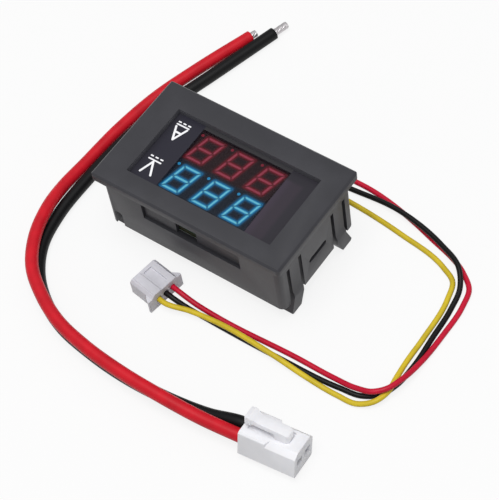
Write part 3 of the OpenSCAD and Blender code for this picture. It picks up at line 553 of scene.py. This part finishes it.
# The smoked window, printed on its back; the print carries painted light and shade beside, above
# and below the display
def smokedWindow(settings):
    shade = Shade("smokedWindow")
    x, y, _ = shade.axes()
    edge = settings["edge"]
    left, right = settings["clearX"]
    low, high = settings["clearY"]
    inX = shade.ease(x, left - edge, left + edge) * (1 - shade.ease(x, right - edge, right + edge))
    inY = shade.ease(y, low - edge, low + edge) * (1 - shade.ease(y, high - edge, high + edge))
    marks = shade.mix(shade.ease(x, *settings["marksRimX"]), settings["marksSide"],
                      settings["marksRim"])
    # Painted light and shade: the band is paler towards the display and darker towards its outer
    # edge and its bottom
    paintedBand = shade.mix(shade.ease(x, *settings["bandOuterX"]), settings["bandOuterShade"],
                     settings["paintedBand"])
    paintedBand = shade.mix(shade.ease(x, *settings["bandInnerX"]), paintedBand, settings["bandInnerLight"])
    paintedBand = shade.mix(shade.ease(y, *settings["bandOuterY"]), settings["bandOuterShade"], paintedBand)
    tint = shade.mix(x > 0, paintedBand, marks)
    # Painted light and shade at the clear zone's ends: below, a grey strip lightened against the
    # corner's shade; above, a dark sheet of painted shade over the gap
    ends = shade.mix(y > 0, settings["below"], settings["above"])
    tint = shade.mix(inX, tint, shade.mix(inY, ends, settings["clear"]))
    fine = shade.noise(3800, 2)
    cleared = settings["printAlpha"] - settings["clearAlpha"]
    return shade.finish(colour=tint, alpha=settings["printAlpha"] - cleared * inX * inY,
                        roughness=0.36 + 0.08 * fine,
                        normal=shade.bump(fine, 0.05, bumpDepth["faint"]),
                        specular=settings["specular"])


unlit = (0, 0, 0, 1)


# A lit bar: brightest along its middle line, deeper in colour towards its edges, dim in the
# joints; the points have no joints
def litBar(name, core, rim, strength):
    shade = Shade(name)
    x, y, _ = shade.axes()
    u, v = digitAxes(shade, x, y, digitSettings)
    away = barDistance(shade, u, v, digitSettings)
    inPoints = shade.ease(away, *digitSettings["points"])
    joints = shade.top(barJoints(shade, u, v, digitSettings), inPoints)
    soft = shade.noise(900, 2)
    heart = (1 - shade.ease(away, *digitSettings["core"])) * (0.8 + 0.4 * soft)
    glow = shade.mix(heart, rim, core)
    return shade.finish(colour=(0.02, 0.02, 0.02, 1),
                        glow=shade.mix(0.15 + 0.85 * joints, unlit, glow),
                        glowStrength=strength, roughness=0.35)


# Light spread round the bars: peak * exp(-(distance / width) squared) and a little everywhere
displaySettings = {
    "peak": 0.5, "width": 1 / 1900, "everywhere": 0.012, "strength": 1.5,
    "frontZ": (0.0191, 0.0194), "upperY": (-0.0001, 0.0008), "sides": tone(206, 206, 200),
    "ampsLight": tone(150, 8, 34), "voltsLight": tone(0, 170, 246),
    "ampsFace": tone(36, 18, 20), "voltsFace": tone(12, 16, 24),
}


# The display's face: black epoxy with that light in it; its sides are pale plastic
def displayFace(settings):
    shade = Shade("displayFace")
    x, y, z = shade.axes()
    u, v = digitAxes(shade, x, y, digitSettings)
    away = barDistance(shade, u, v, digitSettings)
    spread = (settings["peak"] * shade.math("EXPONENT", (away / settings["width"]) ** 2 * -1)
              + settings["everywhere"])
    front = shade.ease(z, *settings["frontZ"])
    upper = shade.ease(y, *settings["upperY"])
    fine = shade.noise(5200, 2)
    lit = shade.mix(upper, settings["ampsLight"], settings["voltsLight"])
    glow = shade.mix(spread * front, unlit, lit)
    face = shade.mix(upper, settings["ampsFace"], settings["voltsFace"])
    return shade.finish(colour=shade.mix(front, settings["sides"], face), glow=glow,
                        glowStrength=settings["strength"], roughness=0.5 + 0.1 * fine,
                        normal=shade.bump(fine, 0.15, bumpDepth["fine"]))


lacquerSettings = {
    "middleZ": 0.0128, "faceFrom": (0.00045, 0.00055), "threads": 9000, "weave": 0.25,
    "dark": tone(12, 74, 38), "light": tone(18, 92, 48), "thread": tone(8, 56, 30),
    # The bare edge's tone is painted shade: darker than bare laminate, for the shade on it inside
    # the housing
    "edge": tone(64, 64, 46),
}


# The board: lacquered laminate with a woven look under the lacquer, and bare at its edges, which
# are painted dark as the shade inside the housing
def boardLacquer(settings):
    shade = Shade("boardLacquer")
    x, y, z = shade.axes()
    weave = (shade.math("SINE", x * settings["threads"])
             * shade.math("SINE", y * settings["threads"])) * 0.5 + 0.5
    slow = shade.noise(300, 3)
    face = shade.ease(abs(z - settings["middleZ"]), *settings["faceFrom"])
    lacquer = shade.mix(slow, settings["dark"], settings["light"])
    lacquer = shade.mix(weave * settings["weave"], lacquer, settings["thread"])
    return shade.finish(colour=shade.mix(face, settings["edge"], lacquer),
                        roughness=0.32 + 0.12 * slow, coat=0.3 * face,
                        normal=shade.bump(weave, 0.12, bumpDepth["fine"]))


# Moulded or ceramic chips with tinned ends: metal where a mask of the place says so
def chipFinish(name, body, mask):
    shade = Shade(name)
    metal = mask(shade, *shade.axes())
    fine = shade.noise(4200, 3, 0.6)
    return shade.finish(colour=shade.mix(metal, body, tone(200, 200, 204)), metal=metal,
                        roughness=0.55 - 0.25 * metal + 0.1 * fine,
                        normal=shade.bump(fine, 0.2, bumpDepth["fine"]))


# Chips with a body in one piece: the axis that their metal ends lie along, 0 for X and 1 for Y,
# and half the length of the body between them
chipBodies = {
    "microcontroller": {"name": "chipEpoxy", "colour": tone(24, 24, 26),
                        "axis": 1, "half": 0.00222},
    "voltage_regulator": {"name": "regulatorEpoxy", "colour": tone(22, 22, 24),
                          "axis": 0, "half": 0.00126},
    "protection_diode": {"name": "diodeEpoxy", "colour": tone(28, 28, 30),
                         "axis": 0, "half": 0.00204},
    "tantalum_capacitor": {"name": "tantalumEpoxy", "colour": tone(212, 146, 32),
                           "axis": 0, "half": 0.00164},
}
rowSettings = {"resistorIn": 0.0008, "resistorHalf": 0.0004, "capacitorIn": 0.001,
               "capacitorHalf": 0.0006, "capacitorPitch": 0.0026, "rowAbove": 0.008}


# The mask of a chip's ends: farther along its axis from the middle of its node than half its body
def bodyEnds(node, axis, half):
    low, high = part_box(node)
    centre = (low[axis] + high[axis]) / 2
    return lambda shade, *place: abs(place[axis] - centre) > half


# The chip resistors stand in two rows, their ends up and down the board
def resistorEnds(shade, x, y, z):
    low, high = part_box("chip_resistors")
    fromLow = abs(y - (low.y + rowSettings["resistorIn"]))
    fromHigh = abs(y - (high.y - rowSettings["resistorIn"]))
    return shade.low(fromLow, fromHigh) > rowSettings["resistorHalf"]


# The chip capacitors stand in a column and, above it, in a row
def capacitorEnds(shade, x, y, z):
    low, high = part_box("chip_capacitors")
    inset, half = rowSettings["capacitorIn"], rowSettings["capacitorHalf"]
    fromColumn = abs(x - (high.x - inset))
    fromRow = abs(shade.math("PINGPONG", x - (low.x + inset), rowSettings["capacitorPitch"] / 2))
    inRow = y > rowSettings["rowAbove"]
    return inRow * (fromRow > half) + (1 - inRow) * (fromColumn > half)


nodeFinishes = {
    "filter_window": smokedWindow(windowSettings),
    "display_case": displayFace(displaySettings),
    "volts_digits": litBar("voltsGlow", tone(112, 208, 234), tone(24, 142, 198), 1.12),
    "amps_digits": litBar("ampsGlow", tone(156, 58, 78), tone(128, 24, 44), 1.12),
    "display_pins": tinnedMetal,
    "circuit_board": boardLacquer(lacquerSettings),
    "chip_resistors": chipFinish("resistorCeramic", tone(26, 26, 30), resistorEnds),
    "chip_capacitors": chipFinish("capacitorCeramic", tone(170, 140, 104), capacitorEnds),
    "shunt_wire": brightMetal("shuntAlloy", tone(186, 158, 122), 0.34, 2200),
    "signal_header_pins": tinnedMetal,
    "current_header_pins": tinnedMetal,
    "signal_plug_contacts": tinnedMetal,
    "current_plug_contacts": tinnedMetal,
    "volts_trimmer_case": mouldedPlastic("trimmerCeramic", tone(226, 224, 212), 0.4, 0.15),
    "volts_trimmer_rotor": brightMetal("trimmerSteel", tone(200, 194, 180), 0.3, 2600),
}
nodeFinishes["amps_trimmer_case"] = nodeFinishes["volts_trimmer_case"]
nodeFinishes["amps_trimmer_rotor"] = nodeFinishes["volts_trimmer_rotor"]
for nodeName, chip in chipBodies.items():
    nodeFinishes[nodeName] = chipFinish(chip["name"], chip["colour"],
                                        bodyEnds(nodeName, chip["axis"], chip["half"]))


def setFinish(piece, material):
    piece.data.materials.clear()
    piece.data.materials.append(material)


for nodeName, material in nodeFinishes.items():
    setFinish(nodes[nodeName], material)
print("node finishes:", len(nodeFinishes))

wireFinishes = {
    "thick_red": redInsulation, "thick_black": blackInsulation,
    "thin_red": thinRedInsulation, "thin_black": blackInsulation,
    "thin_yellow": yellowInsulation,
}
for wireName, material in wireFinishes.items():
    setFinish(wires[wireName], material)
    setFinish(tips[wireName], tinnedStrands)
    slotName = wireName.split("_")[1] + "_insulation"


# How shells are softened: what counts as one point, as a flat face and as an edge to round
softSettings = {"merge": 0.000002, "flat": math.radians(1), "sharp": math.radians(28),
                "segments": 3}


# A CAD node's mesh, merged and with its flat faces joined, so that its edges can be rounded
def softened(node, name, width, material, settings=softSettings):
    mesh = nodes[node].data.copy()
    mesh.name = name
    work = bmesh.new()
    work.from_mesh(mesh)
    bmesh.ops.remove_doubles(work, verts=work.verts, dist=settings["merge"])
    bmesh.ops.dissolve_limit(work, angle_limit=settings["flat"], verts=work.verts,
                             edges=work.edges)
    work.to_mesh(mesh)
    work.free()
    piece = bpy.data.objects.new(name, mesh)
    bpy.context.scene.collection.objects.link(piece)
    mesh.polygons.foreach_set("use_smooth", np.ones(len(mesh.polygons), bool))
    rounding = piece.modifiers.new("edges", "BEVEL")
    rounding.width = width
    rounding.segments = settings["segments"]
    rounding.limit_method = "ANGLE"
    rounding.angle_limit = settings["sharp"]
    rounding.use_clamp_overlap = True
    rounding.harden_normals = True
    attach(piece, meterBody)
    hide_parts(node)
    setFinish(piece, material)


softened("housing", "housingShell", 0.00012, housingPlastic)
softened("signal_plug", "signalPlugShell", 0.00012, naturalNylon)
softened("current_plug", "currentPlugShell", 0.00028, whiteNylon)
softened("signal_header", "signalHeaderShell", 0.0001, whiteNylon)
softened("current_header", "currentHeaderShell", 0.0001, whiteNylon)
print("shells softened")


# White marks on the window's front: a V and an A, each over a bar and three dashes
markSettings = {"front": 0.0206, "thickness": 0.00004, "ends": 8, "step": 0.000002}
markStrokes = {
    "voltsMark": {"width": 0.00046, "strokes": [
        ((0.01333, 0.00775), (0.01492, 0.0045)), ((0.016, 0.00783), (0.01492, 0.0045))]},
    "ampsMark": {"width": 0.00046, "strokes": [
        ((0.01492, -0.00225), (0.01358, -0.00575)), ((0.01492, -0.00225), (0.01633, -0.0056)),
        ((0.0142, -0.0043), (0.0157, -0.0043))]},
    "voltsDirectMark": {"width": 0.00034, "strokes": [
        ((0.0133, 0.00413), (0.01635, 0.00413)), ((0.01335, 0.0033), (0.01382, 0.0033)),
        ((0.0146, 0.0033), (0.01507, 0.0033)), ((0.01585, 0.0033), (0.01632, 0.0033))]},
    "ampsDirectMark": {"width": 0.00034, "strokes": [
        ((0.0135, -0.0062), (0.0165, -0.0062)), ((0.01352, -0.00688), (0.014, -0.00688)),
        ((0.01476, -0.00688), (0.01524, -0.00688)), ((0.016, -0.00688), (0.01648, -0.00688))]},
}


# Strokes as thin pads, all worked out at once. Each outline is two half circles of half the width,
# end + half width * (cos(angle) along + sin(angle) across) and the same about the start, turned
# round. It stands from low to high and a step or two past both, so that crossing strokes aren't
# level with each other
def addStrokes(name, strokes, width, low, high, ends, material):
    strokes = np.asarray(strokes, float)
    start, end = strokes[:, 0], strokes[:, 1]
    along = unit(end - start)
    across = np.stack([-along[:, 1], along[:, 0]], axis=1)
    angle = np.linspace(-np.pi / 2, np.pi / 2, ends)
    arc = (np.cos(angle)[None, :, None] * along[:, None, :]
           + np.sin(angle)[None, :, None] * across[:, None, :]) * width / 2
    outline = np.concatenate([end[:, None, :] + arc, start[:, None, :] - arc], axis=1)
    count, many = outline.shape[1], len(strokes)
    past = (np.arange(many) % 3) * markSettings["step"]
    levels = np.broadcast_to(np.stack([low - past, high + past], axis=1)[:, :, None, None],
                             (many, 2, count, 1))
    flat = np.broadcast_to(outline[:, None], (many, 2, count, 2))
    points = np.concatenate([flat, levels], axis=3).reshape(-1, 3)
    first = np.arange(many)[:, None] * 2 * count
    here = np.arange(count)
    beside = (here + 1) % count
    walls = np.stack([first + here, first + beside, first + count + beside,
                      first + count + here], axis=-1).reshape(-1, 4)
    caps = np.concatenate([first + here[::-1], first + count + here])
    piece = addMesh(name, points, [*walls.tolist(), *caps.tolist()], smooth=False)
    setFinish(piece, material)


# White screen print: a little uneven, with a faint painted glow that makes it brighter than the
# lamps alone would
def glowingWhitePrint():
    shade = Shade("glowingWhitePrint")
    fine = shade.noise(5200, 3, 0.6)
    tint = shade.mix(fine, tone(226, 226, 230), tone(250, 250, 252))
    # Painted light: the print glows faintly though it is no lamp
    return shade.finish(colour=tint, glow=tint, glowStrength=0.12, roughness=0.5,
                        normal=shade.bump(fine, 0.2, bumpDepth["faint"]))


markPaint = glowingWhitePrint()
for markName, mark in markStrokes.items():
    addStrokes(markName, mark["strokes"], mark["width"], markSettings["front"],
               markSettings["front"] + markSettings["thickness"], markSettings["ends"],
               markPaint)
print("marks printed:", len(markStrokes))


# The board's back: lacquered tracks, solder-coated current paths and white outlines. Tracks
# fan out from the upper legs of the microcontroller to the upper pins of the display, and others
# run down from its middle to the lower pins
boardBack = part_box("circuit_board")[0].z
boardSettings = {
    "trackWidth": 0.00036, "trackProud": 0.00004, "pathWidth": 0.0026, "pathProud": 0.00008,
    "printWidth": 0.00018, "printProud": 0.00005, "pins": 6, "pinPitch": 0.00254,
    "pinMiddle": -0.00005, "legPitch": 0.0013, "legMiddle": -0.0034, "legY": 0.0034,
    "fanY": (0.0058, 0.0038), "fanRise": 0.0007, "upperPinY": 0.0072, "dropY": -0.0036,
    "lowerPinY": -0.0096,
}
boardPaths = [((0.0100, 0.0018), (0.0165, 0.0004)), ((0.0100, -0.0092), (0.0165, -0.0046))]
boardTracks = [
    [(-0.0142, 0.0012), (-0.0128, 0.0026), (-0.0128, 0.0052), (-0.0122, 0.0058)],
    [(-0.0142, -0.0010), (-0.0126, -0.0010)],
    [(-0.0142, -0.0032), (-0.0130, -0.0044), (-0.0122, -0.0044)],
    [(-0.0082, 0.0062), (-0.0074, 0.0054), (-0.0074, 0.0040), (-0.0066, 0.0032)],
    [(-0.0082, -0.0050), (-0.0074, -0.0042), (-0.0074, -0.0026), (-0.0066, -0.0018)],
    [(0.0000, 0.0016), (0.0052, 0.0016), (0.0074, 0.0038), (0.0074, 0.0054)],
    [(0.0000, -0.0004), (0.0064, -0.0004), (0.0088, 0.0020), (0.0088, 0.0054)],
    [(0.0122, 0.0064), (0.0150, 0.0064), (0.0172, 0.0086), (0.0186, 0.0086)],
    [(-0.0190, 0.0086), (-0.0160, 0.0086), (-0.0140, 0.0100), (-0.0060, 0.0100)],
]
boardOutlines = [((-0.0206, -0.0060), (-0.0134, 0.0040)), ((0.0122, -0.0064), (0.0208, 0.0024)),
                 ((-0.0128, 0.0037), (-0.0076, 0.0091)), ((-0.0128, -0.0079), (-0.0076, -0.0025)),
                 ((0.0070, 0.0048), (0.0128, 0.0084)), ((-0.0128, -0.0112), (-0.0076, -0.0078)),
                 ((-0.0072, -0.0032), (0.0004, 0.0044))]


# The straight steps of a bent line, as pairs of ends
def steps(line):
    line = np.asarray(line, float)
    return np.stack([line[:-1], line[1:]], axis=1)


# The four sides of a box given by two opposite corners
def boxSides(box):
    (left, low), (right, high) = box
    return steps([(left, low), (right, low), (right, high), (left, high), (left, low)])


# Corners of many tracks at once, from the X and Y of all their first corners, then of all
# their second ones, and so on
def corners(*places):
    return np.stack([np.stack(np.broadcast_arrays(x, y), axis=1) for x, y in places], axis=1)


def addBoardBack(settings):
    count = settings["pins"]
    row = np.arange(count) - (count - 1) / 2
    pins = row * settings["pinPitch"] + settings["pinMiddle"]
    legs = row * settings["legPitch"] + settings["legMiddle"]
    bend = np.linspace(*settings["fanY"], count)
    fan = corners((legs, settings["legY"]), (legs, bend), (pins, bend + settings["fanRise"]),
                  (pins, settings["upperPinY"]))
    drop = corners((pins, settings["dropY"]), (pins, settings["lowerPinY"]))
    tracks = np.concatenate([*map(steps, fan), *map(steps, drop), *map(steps, boardTracks)])
    outlines = np.concatenate([*map(boxSides, boardOutlines)])
    addStrokes("boardTracks", tracks, settings["trackWidth"], boardBack - settings["trackProud"],
               boardBack, 6, trackLacquer)
    addStrokes("currentPaths", boardPaths, settings["pathWidth"],
               boardBack - settings["pathProud"], boardBack, 12, tinnedMetal)
    addStrokes("boardOutlines", outlines, settings["printWidth"],
               boardBack - settings["printProud"], boardBack, 4, markPaint)


trackLacquer = mouldedPlastic("trackLacquer", tone(64, 148, 84), 0.3, 0.1, 3000, 0.08)
addBoardBack(boardSettings)
print("board's back drawn")


# The floor's tones are as seen and as it lights what stands on it
stageSettings = {"size": 3.0, "floorTone": tone(232, 232, 232), "bounceTone": tone(180, 180, 180),
                 "floorWhite": 0.84, "underMeter": (0.0185, 0.0095), "underEdge": 0.0015,
                 "worldStrength": 0.42, "keyPlace": (-0.06, 0.14, 0.85),
                 "keyTarget": (0, 0, 0.01), "keySize": (0.5, 0.5), "keyPower": 5.2}


# The floor: pale and matt; seen directly or in gloss it is mostly white, except in the dark
# under the meter. It keeps the shadow, and from underneath it is see-through
def floorMaterial(settings):
    shade = Shade("paleFloor")
    path = shade.tree.nodes.new("ShaderNodeLightPath")
    direct, gloss, through = (Term(shade, path.outputs[name]) for name in (
        "Is Camera Ray", "Is Glossy Ray", "Is Transmission Ray"))
    seen = shade.top(direct, shade.top(gloss, through))
    base = shade.mix(seen, settings["bounceTone"], settings["floorTone"])
    shade.finish(colour=base, roughness=0.9, specular=0.0)
    x, y, _ = shade.axes()
    halfX, halfY = settings["underMeter"]
    edge = settings["underEdge"]
    under = ((1 - shade.ease(abs(x), halfX - edge, halfX + edge))
             * (1 - shade.ease(abs(y), halfY - edge, halfY + edge)))
    white = shade.node("ShaderNodeEmission", None, {"Color": (1, 1, 1, 1), "Strength": 1.0})
    matt = Term(shade, shade.surface.outputs[0])
    whitened = shade.node("ShaderNodeMixShader", None,
                          {0: seen * (1 - under) * settings["floorWhite"], 1: matt, 2: white})
    below = shade.node("ShaderNodeNewGeometry", output=6)
    clear = shade.node("ShaderNodeBsdfTransparent")
    result = shade.node("ShaderNodeMixShader", None, {0: below, 1: whitened, 2: clear})
    shade.tree.links.new(result.socket, shade.result.inputs["Surface"])
    return shade.material


def addStage(settings):
    half = settings["size"] / 2
    points = [(-half, -half, 0), (half, -half, 0), (half, half, 0), (-half, half, 0)]
    mesh = bpy.data.meshes.new("floor")
    mesh.from_pydata(points, [], [[0, 1, 2, 3]])
    floor = bpy.data.objects.new("floor", mesh)
    bpy.context.scene.collection.objects.link(floor)
    floor.data.materials.append(floorMaterial(settings))


# A soft rectangular lamp aimed at a target
def addLamp(name, place, target, size, power):
    data = bpy.data.lights.new(name, "AREA")
    data.shape = "RECTANGLE"
    data.size, data.size_y = size
    data.energy = power
    lamp = bpy.data.objects.new(name, data)
    bpy.context.scene.collection.objects.link(lamp)
    lamp.location = place
    lamp.rotation_mode = "QUATERNION"
    lamp.rotation_quaternion = (Vector(target) - Vector(place)).to_track_quat("-Z", "Y")


def addWorld(settings):
    world = bpy.data.worlds.new("studio")
    world.use_nodes = True
    tree = world.node_tree
    background = tree.nodes["Background"]
    path = tree.nodes.new("ShaderNodeLightPath")
    mix = tree.nodes.new("ShaderNodeMix")
    mix.data_type = "FLOAT"
    mix.inputs[2].default_value = settings["worldStrength"]
    mix.inputs[3].default_value = 1.0  # white where the camera sees the world
    tree.links.new(path.outputs["Is Camera Ray"], mix.inputs[0])
    tree.links.new(mix.outputs[0], background.inputs["Strength"])
    background.inputs["Color"].default_value = (1, 1, 1, 1)
    bpy.context.scene.world = world


addStage(stageSettings)
addWorld(stageSettings)
addLamp("keyLamp", stageSettings["keyPlace"], stageSettings["keyTarget"],
        stageSettings["keySize"], stageSettings["keyPower"])
bpy.context.scene.view_settings.view_transform = "Standard"
print("stage set")
